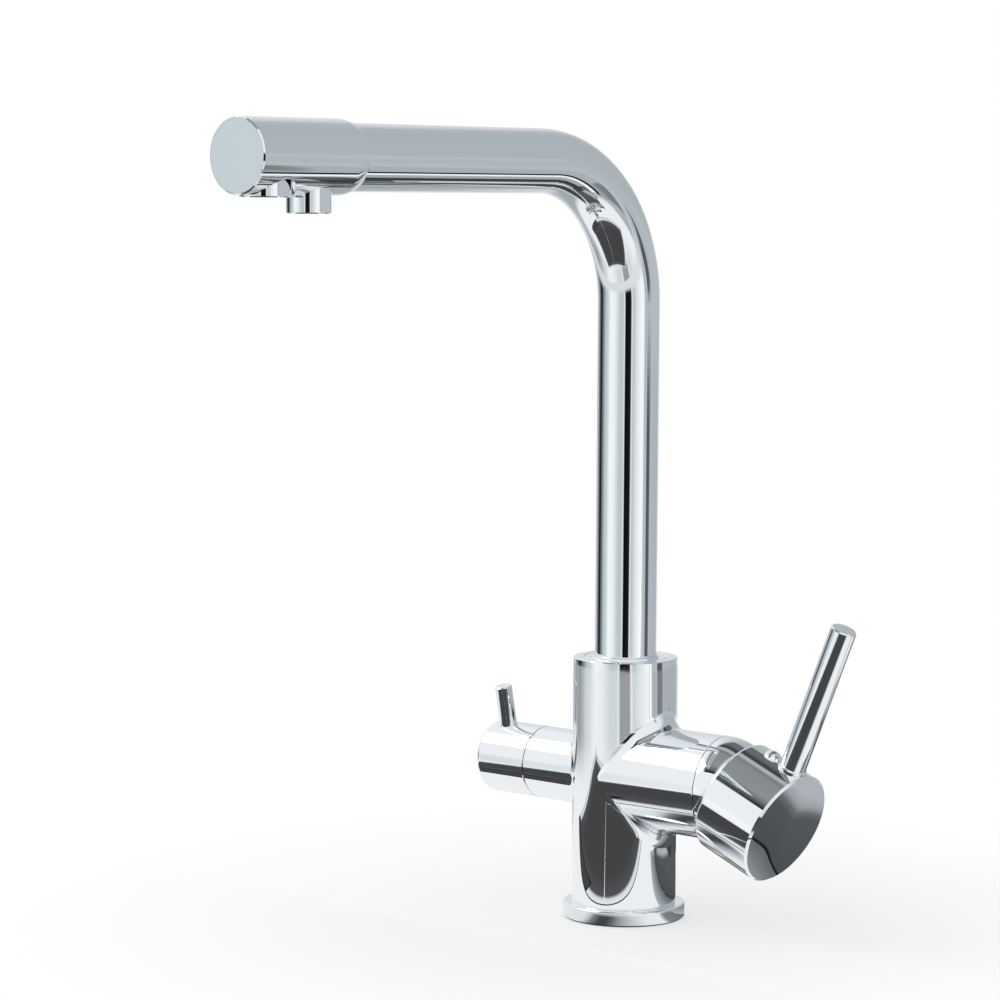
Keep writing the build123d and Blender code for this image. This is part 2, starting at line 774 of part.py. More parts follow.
def make_handle_cap():
    """A round block with a crowned face and a ball pocket over the dome, and a hub on the spindle's square."""
    rim, top = (cap_end, cap_radius), (cap_end + cap_crown, 0)
    outline = [
        Polyline(top, (cap_rim, 0), (cap_rim, cap_radius), rim),
        RadiusArc(rim, top, -crown_radius(cap_radius, cap_crown)),
    ]
    cap = turned(outline, pivot, handle_out)
    cap = fillet(rims(cap, cap_radius, in_handle(cap_rim), handle_out), cap_back_round)
    cap = chamfer(rims(cap, cap_radius, in_handle(cap_end), handle_out), cap_front_chamfer)
    cap = cap - Pos(pivot) * Sphere(pocket_radius)
    cap = cap + handle_bar(hub_radius, hub_start, pocket_radius + end_gap)
    socket_width = spindle_width + 2 * seat_gap
    above = cap_radius + lever_ring_height
    return cap - [
        square_bar(socket_width, in_handle(hub_start), in_handle(spindle_end + end_gap), sideways),
        handle_post(lever_ring_radius + seat_gap, lever_place, lever_seat, above),
        handle_post(lever_spigot_radius + seat_gap, lever_place, lever_seat - lever_spigot_length, lever_seat),
        handle_post(plug_radius + seat_gap, screw_place, plug_seat, above),
        handle_post(screw_radius + seat_gap, screw_place, 0, plug_seat),
    ]


def make_lever():
    foot = lever_seat + lever_ring_height
    lever = handle_post(lever_radius, lever_place, foot, lever_top)
    top = in_handle(lever_place, lever_top)
    lever = chamfer(rims(lever, lever_radius, top, handle_up), lever_chamfer)
    return lever + handle_post(lever_spigot_radius, lever_place, lever_seat - lever_spigot_length, foot)


def make_lever_ring():
    """The slim ring at the lever's foot."""
    foot = lever_seat + lever_ring_height
    collar = handle_post(lever_ring_radius, lever_place, lever_seat, foot)
    top = in_handle(lever_place, foot)
    collar = chamfer(rims(collar, lever_ring_radius, top, handle_up), edge_break)
    return collar - handle_post(lever_spigot_radius + seat_gap, lever_place, lever_seat, foot)


def grub_screw(inner, outer):
    """A headless screw with a hexagon socket in its outer end."""
    inward = (inner - outer).normalized()
    return bar(screw_radius, inner, outer) - hex_bar(screw_hex, outer, outer + inward * screw_hex_depth)


def make_cap_screw():
    inner = in_handle(screw_place, spindle_width / 2 + seat_gap)
    return grub_screw(inner, in_handle(screw_place, plug_seat - plug_stem_length - screw_room))


def make_index_plug():
    """The small domed plug over the handle's screw."""
    stem = handle_post(screw_radius - seat_gap, screw_place, plug_seat - plug_stem_length, plug_seat)
    head = handle_post(plug_radius, screw_place, plug_seat, plug_seat + plug_height)
    ball_radius = crown_radius(plug_radius, plug_height)
    ball = Pos(in_handle(screw_place, plug_seat + plug_height - ball_radius)) * Sphere(ball_radius)
    return stem + (head & ball)


# ---------------------------------------------------------------- filter valve
def make_filter_washer():
    washer = filter_bar(filter_skirt_radius, filter_chamber_floor, filter_disc_start)
    return washer - filter_bar(filter_port_rise + filter_port_radius, filter_chamber_floor, filter_disc_start)


def make_filter_headwork():
    """The valve's brass body: a skirt with two windows, a threaded part and a hexagon."""
    body = filter_bar(filter_skirt_radius, filter_disc_start, filter_thread_start)
    body = body + filter_bar(filter_chamber_radius - seat_gap, filter_thread_start, filter_hex_start)
    body = body + hex_bar(filter_hex, in_filter(filter_hex_start), in_filter(filter_hex_end))
    body = body - filter_bar(filter_skirt_bore, filter_disc_start, filter_flange_end + end_gap)
    body = body - filter_bar(filter_shaft_radius + running_gap, filter_disc_start, filter_hex_end)
    windows = Box(filter_flange_height, filter_window_width, 3 * filter_skirt_radius)
    return body - Pos(in_filter(filter_window_place)) * windows


def make_filter_disc(start):
    """A ceramic disc with two ports."""
    end = start + filter_disc_thickness
    disc = filter_bar(filter_skirt_bore - running_gap, start, end)
    for rise in (-filter_port_rise, filter_port_rise):
        disc = disc - filter_bar(filter_port_radius, start, end, rise)
    return disc


def make_filter_spindle():
    """A flange slotted above and below for the water, a sealed shaft, and a square end for the knob."""
    spindle = filter_bar(filter_skirt_bore - running_gap, filter_flange_start, filter_flange_end)
    for sign in (-1, 1):
        slot = Box(2 * filter_flange_height, filter_flange_slot, filter_skirt_radius)
        rise = sign * (filter_skirt_radius / 2 + filter_flange_web)
        spindle = spindle - Pos(in_filter(filter_flange_start, rise)) * slot
    spindle = spindle + filter_bar(filter_shaft_radius, filter_flange_end, square_start)
    spindle = spindle + square_bar(filter_square, in_knob(square_start), in_knob(square_end), knob_up)
    low = filter_seal_place - filter_seal_section - seat_gap
    high = filter_seal_place + filter_seal_section + seat_gap
    groove = filter_bar(filter_shaft_radius + end_gap, low, high)
    return spindle - (groove - filter_bar(filter_shaft_radius - 2 * filter_seal_section, low, high))


def make_filter_seal():
    frame = Plane(origin=in_filter(filter_seal_place), z_dir=outward)
    return frame * Torus(filter_shaft_radius - filter_seal_section, filter_seal_section)


def make_filter_knob():
    """A round knob with a hollow back, on the spindle's square."""
    knob = filter_bar(filter_radius, knob_start, knob_end)
    knob = fillet(rims(knob, filter_radius, in_filter(knob_end), outward), knob_round)
    knob = chamfer(rims(knob, filter_radius, in_filter(knob_start), outward), seam_chamfer)
    socket_width = filter_square + 2 * seat_gap
    above = filter_radius + joint_gap
    return knob - [
        filter_bar(filter_radius - knob_wall, knob_start, knob_start + knob_recess_depth),
        square_bar(socket_width, in_knob(knob_start), in_knob(square_end + end_gap), knob_up),
        knob_post(pin_spigot_radius + seat_gap, pin_place, pin_seat - pin_spigot_length, pin_seat),
        knob_post(pin_radius + seat_gap, pin_place, pin_seat, above),
        knob_post(screw_radius + seat_gap, knob_screw_place, -above, 0),
    ]


def make_filter_lever():
    lever = knob_post(pin_radius, pin_place, pin_seat, pin_top)
    top = in_knob(pin_place, pin_top)
    lever = chamfer(rims(lever, pin_radius, top, knob_up), pin_chamfer)
    return lever + knob_post(pin_spigot_radius, pin_place, pin_seat - pin_spigot_length, pin_seat)


def make_knob_screw():
    start = filter_square / 2 + seat_gap
    return grub_screw(in_knob(knob_screw_place, -start), in_knob(knob_screw_place, -start - knob_screw_length))


# ---------------------------------------------------------------- every sub-part, by its name
main_outlet = (main_outlet_reach, main_outlet_radius, main_outlet_drop)
filter_outlet = (filter_outlet_reach, filter_outlet_radius, filter_outlet_drop)
nodes = {
    "base_gasket": make_gasket(),
    "base_flange": make_flange(),
    "tap_body": make_body(),
    "swivel_nut": make_swivel_nut(),
    "slide_ring": make_slide_ring(),
    "spout_bush": make_spout_bush(),
    "spout_seals": make_spout_seals(),
    "spout_tube": bent_tube(tube_radius, tube_wall, bush_low, tube_end),
    "filter_water_tube": bent_tube(filter_tube_radius, filter_tube_wall, filter_tube_low, elbow_tube_end),
    "spout_head": make_spout_head(),
    "spout_end_disc": make_end_disc(),
    "filter_elbow": make_filter_elbow(),
    "main_outlet_sleeve": make_outlet_sleeve(*main_outlet),
    "main_aerator": make_aerator(*main_outlet),
    "main_outlet_seal": make_outlet_seal(*main_outlet),
    "filter_outlet_sleeve": make_outlet_sleeve(*filter_outlet),
    "filter_aerator": make_aerator(*filter_outlet),
    "filter_outlet_seal": make_outlet_seal(*filter_outlet),
    "cartridge_case": make_cartridge_case(),
    "cartridge_seals": make_cartridge_seals(),
    "fixed_disc": make_fixed_disc(),
    "moving_disc": make_moving_disc(),
    "disc_carrier": make_disc_carrier(),
    "cartridge_rotor": make_rotor(),
    "pivot_pin": cross_pin(pivot_pin_radius, pivot_pin_half),
    "mixer_spindle": make_spindle(),
    "cartridge_nut": make_cartridge_nut(),
    "dome_cover": make_dome(),
    "handle_cap": make_handle_cap(),
    "mixer_lever": make_lever(),
    "lever_ring": make_lever_ring(),
    "cap_screw": make_cap_screw(),
    "index_plug": make_index_plug(),
    "filter_seat_washer": make_filter_washer(),
    "filter_headwork": make_filter_headwork(),
    "filter_fixed_disc": make_filter_disc(filter_disc_start),
    "filter_moving_disc": make_filter_disc(filter_disc_start + filter_disc_thickness),
    "filter_spindle": make_filter_spindle(),
    "filter_spindle_seal": make_filter_seal(),
    "filter_knob": make_filter_knob(),
    "filter_lever": make_filter_lever(),
    "knob_screw": make_knob_screw(),
}

os.makedirs("parts", exist_ok=True)
for name, shape in nodes.items():
    export_step(shape, f"parts/{name}.step")

disc_ratio = disc_travel / 1000 / tilt
print(f"{len(nodes)} sub-parts. The moving disc slides {disc_ratio:.5f} m per radian of the handle's tilt.")
print(f"The dome's opening is {degrees(dome_opening):.1f} degrees from its axis.")
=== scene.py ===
# %% [markdown]
# # A three way kitchen tap in polished chrome
#
# The tap's shape comes from its CAD model, which is loaded as a fixed frame in metres. The origin is on the
# deck under the middle of the base, +Z is up, the spout points along -Y, the mixer handle stands out along
# +X and the filter valve along -X. This lesson adds what the CAD model hasn't got: the finishes, a few fine
# pieces such as threads, and a small studio with a camera.

# %% Load the frame
from math import cos, pi, radians, sin

import bmesh
import bpy
from mathutils import Matrix, Vector


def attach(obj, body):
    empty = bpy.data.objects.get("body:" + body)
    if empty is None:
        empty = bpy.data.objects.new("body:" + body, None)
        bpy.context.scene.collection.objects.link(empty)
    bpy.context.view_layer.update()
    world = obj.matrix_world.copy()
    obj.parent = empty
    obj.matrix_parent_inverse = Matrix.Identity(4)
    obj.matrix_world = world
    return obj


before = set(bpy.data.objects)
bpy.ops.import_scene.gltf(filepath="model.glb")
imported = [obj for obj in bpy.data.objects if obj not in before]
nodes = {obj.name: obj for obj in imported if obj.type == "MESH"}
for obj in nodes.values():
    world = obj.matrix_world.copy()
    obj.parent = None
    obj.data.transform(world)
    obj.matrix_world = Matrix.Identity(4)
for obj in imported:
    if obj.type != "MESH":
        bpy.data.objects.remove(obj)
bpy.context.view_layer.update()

MM = 0.001

# %% [markdown]
# ## Colours
#
# A colour picker gives sRGB, as screens do, but a shader works with linear light. One function turns a hex
# value into linear light, and every colour in this lesson goes through it.


# %% Turn a hex colour to linear light
def linear(hex_colour):
    """The linear RGBA of an sRGB hex value such as "#C0C4C8"."""
    channels = [int(hex_colour[i : i + 2], 16) / 255 for i in (1, 3, 5)]
    return [c / 12.92 if c <= 0.04045 else ((c + 0.055) / 1.055) ** 2.4 for c in channels] + [1.0]


print("mid grey is", [round(c, 3) for c in linear("#808080")])

# %% [markdown]
# ## Building a material from nodes
#
# A finish in Blender is a small web of nodes. Making each node by hand takes many lines, so one function adds
# a node, sets its settings and its inputs, links any input that is another node's output, and gives back the
# output that the next node needs. Each finish below is then a short list of such calls, like a recipe.


# %% Add a node
SMOOTH = {"interpolation_type": "SMOOTHSTEP"}  # for a Map Range that eases in and out


def add(tree, kind, inputs=None, out=0, stops=None, **settings):
    """Add a node and return one of its outputs. An input is a value, or an output socket to link from."""
    node = tree.nodes.new(kind)
    for name, value in settings.items():
        setattr(node, name, value)
    for key, value in (inputs or {}).items():
        if isinstance(value, bpy.types.NodeSocket):
            tree.links.new(value, node.inputs[key])
        else:
            node.inputs[key].default_value = value
    if stops:
        elements = node.color_ramp.elements
        for element, (position, colour) in zip(elements, (stops[0], stops[-1])):
            element.position, element.color = position, linear(colour)
        for position, colour in stops[1:-1]:
            elements.new(position).color = linear(colour)
    return node.outputs[out] if node.outputs else node


print("add makes a node, sets it and links it")

# %% [markdown]
# ## A finish, and the pieces that wear it
#
# Blender's Principled shader covers metal, rubber, plastic and ceramic alike. A value that is the same all
# over a piece sits on the shader's own socket, and only what varies over the surface comes from nodes. The
# CAD pieces keep their own meshes and only swap their material.


# %% Start a finish, and put it on
def new_finish(name, colour, metallic, roughness, **sockets):
    """A material with one Principled shader, whose even values sit on its own sockets."""
    material = bpy.data.materials.new(name)
    material.use_nodes = True
    shader = material.node_tree.nodes["Principled BSDF"]
    shader.inputs["Base Color"].default_value = linear(colour)
    shader.inputs["Metallic"].default_value = metallic
    shader.inputs["Roughness"].default_value = roughness
    for key, value in sockets.items():
        shader.inputs[key.replace("_", " ")].default_value = value
    material.diffuse_color = linear(colour)
    return material, material.node_tree, shader


def put_on(material, *names):
    """Give CAD pieces their finish. Their meshes stay as they are."""
    for name in names:
        for slot in nodes[name].material_slots:
            slot.material = material
    print(f"{material.name}: {', '.join(names)}")


print("new_finish starts a material, put_on gives it to pieces")

# %% [markdown]
# ## Polished chrome plate
#
# The tap is cast and turned brass, polished, nickelled and chrome plated. The plate is a mirror with a cool
# tint. It looks black and white because it shows the studio round it. Up close it isn't perfect: the buffing
# wheel leaves hairlines along its path, the casting under the plate is very slightly wavy, and hard water
# leaves thin dull marks. The mirror is the metal's own shader at a low roughness. The marks go into the
# roughness and the waviness into a weak bump, so that they show only where light grazes them.

# %% Chrome: the mirror and its marks
CHROME_HEX = "#F3F5F7"
HAIRLINE_MM = 0.12  # a buffing line's width, drawn coarser than the real 0.02 mm so that it shows at all
MARK_MM = 5.0  # a dried water mark's width
WAVE_MM = 16.0  # the casting's slow waviness
WAVE_HEIGHT_MM = 0.008
HAIRLINE_STRETCH = 60  # how many times longer than wide a hairline is
HAIRLINE_ROUGHNESS = {"To Min": 0.018, "To Max": 0.034}
MARK_ROUGHNESS = {"To Min": 0.0, "To Max": 0.035}


def make_chrome(name, along):
    """Chrome whose buffing hairlines run along an axis of the part: 0 for X, 1 for Y, 2 for Z."""
    material, tree, shader = new_finish(name, CHROME_HEX, metallic=1.0, roughness=0.03)
    place = add(tree, "ShaderNodeTexCoord", out="Object")
    stretch = [1 / (HAIRLINE_MM * MM)] * 3
    stretch[along] /= HAIRLINE_STRETCH
    lines_at = add(tree, "ShaderNodeVectorMath", {0: place, 1: stretch}, operation="MULTIPLY")
    hairlines = add(tree, "ShaderNodeTexNoise", {"Vector": lines_at, "Scale": 1.0, "Detail": 2.0})
    fine = {"Value": hairlines, "From Min": 0.3, "From Max": 0.7, **HAIRLINE_ROUGHNESS}
    marks = add(tree, "ShaderNodeTexNoise", {"Vector": place, "Scale": 1 / (MARK_MM * MM), "Detail": 3.0})
    dull = {"Value": marks, "From Min": 0.55, "From Max": 0.78, **MARK_ROUGHNESS}
    fine, dull = add(tree, "ShaderNodeMapRange", fine), add(tree, "ShaderNodeMapRange", dull)
    roughness = add(tree, "ShaderNodeMath", {0: fine, 1: dull}, operation="ADD")
    tree.links.new(roughness, shader.inputs["Roughness"])
    waves = add(tree, "ShaderNodeTexNoise", {"Vector": place, "Scale": 1 / (WAVE_MM * MM), "Detail": 1.0})
    bump = add(tree, "ShaderNodeBump", {"Height": waves, "Distance": WAVE_HEIGHT_MM * MM})
    tree.links.new(bump, shader.inputs["Normal"])
    return material, tree, shader


print(f"hairlines {HAIRLINE_MM} mm, water marks {MARK_MM} mm, waves {WAVE_MM} mm")

# %% [markdown]
# ## Which way each chrome piece was buffed
#
# A turned piece is polished along its own axis, so its hairlines follow that axis: X for the handle side, Y
# for the spout's head, and Z for the upright pieces.

# %% Chrome: put it on
chrome_x = make_chrome("polished chrome plate, buffed along X", 0)[0]
chrome_y = make_chrome("polished chrome plate, buffed along Y", 1)[0]
chrome_z = make_chrome("polished chrome plate, buffed along Z", 2)[0]
put_on(chrome_x, "handle_cap", "dome_cover", "filter_knob")
put_on(chrome_y, "spout_head", "spout_end_disc")
put_on(chrome_z, "base_flange", "swivel_nut", "slide_ring", "spout_tube", "main_outlet_sleeve")
put_on(chrome_z, "filter_outlet_sleeve", "mixer_lever", "lever_ring", "index_plug", "filter_lever")
print("15 chrome pieces, and the body follows")

# %% [markdown]
# ## The body: plated outside, bare brass underneath
#
# A cast body is masked or stands on its foot in the plating bath, so its underside and the threaded holes in
# it stay brass: yellow, with the fine rings of the cutting tool. Seen from below, that is what tells a fitter
# where the hoses go. The body's chrome gets brass where it is within a hair of the deck or inside a hole, by
# its distance from each hole's axis.

# %% The holes in the body's foot, from the CAD sizes
BRASS_HEX = "#D9BC82"
BARE_FOOT_MM = 0.3  # how far above the deck the foot stays bare
BARE_WALL_MM = 0.6  # how far round a hole's wall the brass reaches
BARE_END_MM = 4.0  # and how far past the hole's end
CUT_BRASS_ROUGHNESS = 0.32
HOLES = {  # x, y, radius and depth in millimetres
    "hot_inlet": (3.0, 9.5, 4.5, 14.0),
    "cold_inlet": (3.0, -9.5, 4.5, 14.0),
    "filter_inlet": (-10.0, 0.0, 4.5, 14.0),
    "stud_hole": (13.5, 0.0, 3.4, 16.0),
}
body_finish, tree, shader = make_chrome("polished chrome plate with a bare brass foot", 2)
place = add(tree, "ShaderNodeTexCoord", out="Object")
height = add(tree, "ShaderNodeSeparateXYZ", {0: place}, out="Z")
bare = add(tree, "ShaderNodeMath", {0: height, 1: BARE_FOOT_MM * MM}, operation="LESS_THAN")
level = add(tree, "ShaderNodeVectorMath", {0: place, 1: (1.0, 1.0, 0.0)}, operation="MULTIPLY")
for x, y, radius, depth in HOLES.values():
    away = {0: level, 1: (x * MM, y * MM, 0.0)}
    away = add(tree, "ShaderNodeVectorMath", away, out="Value", operation="DISTANCE")
    near = add(tree, "ShaderNodeMath", {0: away, 1: (radius + BARE_WALL_MM) * MM}, operation="LESS_THAN")
    low = add(tree, "ShaderNodeMath", {0: height, 1: (depth + BARE_END_MM) * MM}, operation="LESS_THAN")
    inside = add(tree, "ShaderNodeMath", {0: near, 1: low}, operation="MULTIPLY")
    bare = add(tree, "ShaderNodeMath", {0: bare, 1: inside}, operation="MAXIMUM")
colours = {0: bare, 6: linear(CHROME_HEX), 7: linear(BRASS_HEX)}
tree.links.new(add(tree, "ShaderNodeMix", colours, out=2, data_type="RGBA"), shader.inputs["Base Color"])
chrome_roughness = shader.inputs["Roughness"].links[0].from_socket
cut_metal = {0: bare, 2: chrome_roughness, 3: CUT_BRASS_ROUGHNESS}
tree.links.new(add(tree, "ShaderNodeMix", cut_metal, data_type="FLOAT"), shader.inputs["Roughness"])
put_on(body_finish, "tap_body")
print(len(HOLES), "holes in the foot")

# %% [markdown]
# ## Machined brass
#
# The valve headwork, the nut that clamps the cartridge and the elbow in the head are turned from brass bar
# and left bare. Turning leaves rings a fifth of a millimetre apart, and handling leaves brown patches where
# the metal has dulled. Brass is a metal, so its colour is the colour of its reflection. Real rings are far
# too fine to show from here, so these are coarser. At a scale of 1, the wave texture draws a ring for every
# 2 pi / 20 of length, so that number over the real distance is the scale.

# %% Brass
RING_MM = 2.513  # between two rings of the lathe tool, drawn coarser than the real 0.2 mm
RING_HEIGHT_MM = 0.01
TARNISH_MM = 7.0
brass, tree, shader = new_finish("machined brass", BRASS_HEX, metallic=1.0, roughness=0.28)
place = add(tree, "ShaderNodeTexCoord", out="Object")
tarnish = add(tree, "ShaderNodeTexNoise", {"Vector": place, "Scale": 1 / (TARNISH_MM * MM), "Detail": 4.0})
tones = [(0.35, "#C9A566"), (0.55, BRASS_HEX), (0.75, "#E6CD98")]
tree.links.new(add(tree, "ShaderNodeValToRGB", {0: tarnish}, stops=tones), shader.inputs["Base Color"])
dulled = {"Value": tarnish, "From Min": 0.3, "From Max": 0.7, "To Min": 0.36, "To Max": 0.22}
tree.links.new(add(tree, "ShaderNodeMapRange", dulled), shader.inputs["Roughness"])
rings = {"Vector": place, "Scale": 2 * pi / 20 / (RING_MM * MM), "Distortion": 0.4}
rings = add(tree, "ShaderNodeTexWave", rings, out="Fac", wave_type="RINGS", rings_direction="SPHERICAL")
grooves = {"Height": rings, "Distance": RING_HEIGHT_MM * MM}
tree.links.new(add(tree, "ShaderNodeBump", grooves), shader.inputs["Normal"])
put_on(brass, "filter_elbow", "cartridge_nut", "filter_headwork", "filter_spindle")

# %% [markdown]
# ## Turned stainless steel
#
# The spindle, the pivot pin and the two grub screws are stainless, greyer and less shiny than chrome. They
# are centreless ground, which leaves fine scratches round the pin.

# %% Stainless steel
GRIND_MM = 0.1
SCRATCH_STRETCH = 5  # how many times longer than wide a scratch is
SCRATCH_DEPTH_MM = 0.002
steel, tree, shader = new_finish("ground stainless steel", "#C9C8C5", metallic=1.0, roughness=0.26)
place = add(tree, "ShaderNodeTexCoord", out="Object")
across, along = 1 / (GRIND_MM * MM), 1 / (SCRATCH_STRETCH * GRIND_MM * MM)
scratch_at = {0: place, 1: (along, along, across)}
scratch_at = add(tree, "ShaderNodeVectorMath", scratch_at, operation="MULTIPLY")
scratches = add(tree, "ShaderNodeTexNoise", {"Vector": scratch_at, "Scale": 1.0, "Detail": 3.0})
ground = {"Value": scratches, "From Min": 0.3, "From Max": 0.7, "To Min": 0.2, "To Max": 0.34}
tree.links.new(add(tree, "ShaderNodeMapRange", ground), shader.inputs["Roughness"])
grooves = {"Height": scratches, "Distance": SCRATCH_DEPTH_MM * MM}
tree.links.new(add(tree, "ShaderNodeBump", grooves), shader.inputs["Normal"])
put_on(steel, "pivot_pin", "mixer_spindle", "cap_screw", "knob_screw")

# %% [markdown]
# ## Moulded black rubber
#
# The gasket under the flange and all the seals are EPDM rubber. It is nearly black and matt, with the fine
# grain of a spark-eroded mould, and a faint grey bloom where wax has come to its surface.

# %% Rubber
RUBBER_GRAIN_MM = 0.25
RUBBER_GRAIN_HEIGHT_MM = 0.02
BLOOM_MM = 9.0
rubber, tree, shader = new_finish("moulded EPDM rubber", "#19191B", metallic=0.0, roughness=0.62)
place = add(tree, "ShaderNodeTexCoord", out="Object")
bloom = add(tree, "ShaderNodeTexNoise", {"Vector": place, "Scale": 1 / (BLOOM_MM * MM), "Detail": 3.0})
tones = [(0.4, "#161618"), (0.7, "#232325")]
tree.links.new(add(tree, "ShaderNodeValToRGB", {0: bloom}, stops=tones), shader.inputs["Base Color"])
grain = add(tree, "ShaderNodeTexNoise", {"Vector": place, "Scale": 1 / (RUBBER_GRAIN_MM * MM)})
grain = {"Height": grain, "Distance": RUBBER_GRAIN_HEIGHT_MM * MM}
tree.links.new(add(tree, "ShaderNodeBump", grain), shader.inputs["Normal"])
put_on(rubber, "base_gasket", "spout_seals", "main_outlet_seal", "filter_outlet_seal", "cartridge_seals")
put_on(rubber, "filter_seat_washer", "filter_spindle_seal")

# %% [markdown]
# ## Moulded plastics
#
# The spout's bush and the cartridge's case, rotor and disc carrier are white acetal, waxy and slightly see
# through at thin edges. The aerators are a grey acetal blend. The filtered water tube is drawn polyethylene,
# which is milky and smoother. All three come from hot steel tools, so they share one recipe: a flow pattern
# in the colour, a fine satin grain in the bump, and a little light that goes into the plastic.

# %% Plastics
SATIN_MM = 0.18
SATIN_HEIGHT_MM = 0.008
SATIN_SPREAD = 0.06  # how far the roughness strays to either side
FLOW_MM = 12.0


def make_plastic(name, pale, deep, roughness, depth_mm):
    """A moulded plastic between two close tones, into which light goes a short way."""
    material, tree, shader = new_finish(name, pale, metallic=0.0, roughness=roughness, IOR=1.48)
    place = add(tree, "ShaderNodeTexCoord", out="Object")
    flow = add(tree, "ShaderNodeTexNoise", {"Vector": place, "Scale": 1 / (FLOW_MM * MM), "Distortion": 1.2})
    tones = add(tree, "ShaderNodeValToRGB", {0: flow}, stops=[(0.35, deep), (0.65, pale)])
    tree.links.new(tones, shader.inputs["Base Color"])
    satin = add(tree, "ShaderNodeTexNoise", {"Vector": place, "Scale": 1 / (SATIN_MM * MM), "Detail": 2.0})
    uneven = {"Value": satin, "To Min": roughness - SATIN_SPREAD, "To Max": roughness + SATIN_SPREAD}
    tree.links.new(add(tree, "ShaderNodeMapRange", uneven), shader.inputs["Roughness"])
    grain = add(tree, "ShaderNodeBump", {"Height": satin, "Distance": SATIN_HEIGHT_MM * MM})
    tree.links.new(grain, shader.inputs["Normal"])
    shader.inputs["Subsurface Weight"].default_value = 0.15
    shader.inputs["Subsurface Scale"].default_value = depth_mm * MM
    return material


white_acetal = make_plastic("white acetal", "#EFEEEA", "#E6E5E0", roughness=0.4, depth_mm=1.0)
grey_acetal = make_plastic("grey acetal blend", "#74777C", "#696C71", roughness=0.45, depth_mm=0.3)
milky_tube = make_plastic("drawn polyethylene tube", "#EDF0F2", "#E2E6E9", roughness=0.25, depth_mm=2.0)
put_on(white_acetal, "spout_bush", "cartridge_case", "disc_carrier", "cartridge_rotor")
put_on(grey_acetal, "main_aerator", "filter_aerator")
put_on(milky_tube, "filter_water_tube")

# %% [markdown]
# ## Lapped ceramic
#
# The discs that stop the water are alumina, lapped so flat that two of them stick together. The lapped
# faces are smooth and faintly glossy, ivory white, with grey specks of the sintered grain.

# %% Ceramic
SPECK_MM = 0.3
ALUMINA = {"metallic": 0.0, "roughness": 0.14, "IOR": 1.76}
ceramic, tree, shader = new_finish("lapped alumina ceramic", "#F1EDE4", **ALUMINA)
place = add(tree, "ShaderNodeTexCoord", out="Object")
specks = add(tree, "ShaderNodeTexVoronoi", {"Vector": place, "Scale": 1 / (SPECK_MM * MM)}, out="Color")
speck = add(tree, "ShaderNodeSeparateXYZ", {0: specks}, out="X")
tones = [(0.0, "#D3CFC6"), (0.08, "#EEEAE1"), (1.0, "#F4F0E8")]
tree.links.new(add(tree, "ShaderNodeValToRGB", {0: speck}, stops=tones), shader.inputs["Base Color"])
lapped = {"Value": speck, "To Min": 0.2, "To Max": 0.12}
tree.links.new(add(tree, "ShaderNodeMapRange", lapped), shader.inputs["Roughness"])
put_on(ceramic, "fixed_disc", "moving_disc", "filter_fixed_disc", "filter_moving_disc")

# %% [markdown]
# ## Threads in the foot
#
# The CAD model has plain bores where the real body is tapped: M10 x 1 for the three hoses and M8 x 1.25 for
# the fixing stud. A real thread is one ridge that climbs round the bore. It could be a screw modifier on a
# small triangle, but then its ends would be cut open. Here each step round the helix adds one triangle of
# points, and the ridge fades into the wall at both ends, as a tap leaves it.

# %% Threads
STEPS_PER_TURN = 40
RIDGE_MM = 0.4  # how far a thread stands into its bore
SUNK_MM = 0.03  # how far its root lies in the bore's wall
ROOT_HALF_WIDTH = 0.46  # in pitches
BARE_END_TURNS = 0.75  # of the bore, without thread, at either end
STUD_PITCH_MM, HOSE_PITCH_MM = 1.25, 1.0


def make_thread(name, x, y, radius, depth, pitch):
    """One helical ridge inside a bore in the foot."""
    mesh = bmesh.new()
    steps = int((depth - 2 * BARE_END_TURNS * pitch) / pitch * STEPS_PER_TURN)
    rows = []
    for step in range(steps + 1):
        turn = 2 * pi * step / STEPS_PER_TURN
        rise = BARE_END_TURNS * pitch + pitch * step / STEPS_PER_TURN
        crest = RIDGE_MM * min(1.0, step / STEPS_PER_TURN, (steps - step) / STEPS_PER_TURN)
        points = []
        for side, inward in ((-ROOT_HALF_WIDTH, -SUNK_MM), (0.0, crest), (ROOT_HALF_WIDTH, -SUNK_MM)):
            reach = radius - inward
            point = (x + reach * cos(turn), y + reach * sin(turn), rise + side * pitch)
            points.append(mesh.verts.new([v * MM for v in point]))
        rows.append(points)
    for first, second in zip(rows, rows[1:]):
        for k in range(3):
            n = (k + 1) % 3
            mesh.faces.new((first[k], second[k], second[n], first[n]))
    mesh.faces.new(rows[0])
    mesh.faces.new(rows[-1])
    bmesh.ops.recalc_face_normals(mesh, faces=mesh.faces)
    data = bpy.data.meshes.new(name)
    mesh.to_mesh(data)
    mesh.free()
    data.materials.append(brass)
    thread = bpy.data.objects.new(name, data)
    bpy.context.scene.collection.objects.link(thread)
    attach(thread, "tap_base")
    return thread


for name, (x, y, radius, depth) in HOLES.items():
    pitch = STUD_PITCH_MM if name == "stud_hole" else HOSE_PITCH_MM
    thread = make_thread(f"{name}_thread", x, y, radius, depth, pitch)
    print(thread.name, len(thread.data.polygons), "faces")

# %% [markdown]
# ## The studio: its walls, as a mirror sees them
#
# Chrome in an all white room looks like white plastic. It reads as metal because it mirrors a studio: bright
# walls, a dark gap on the left, the dark side where the photographer stands, a grey wall behind with one dark
# slat at its right, and a dark panel overhead. A colour ramp over the compass angle draws the walls. One ramp
# holds 32 colours at most, so the walls take two ramps, one for each half of the room.

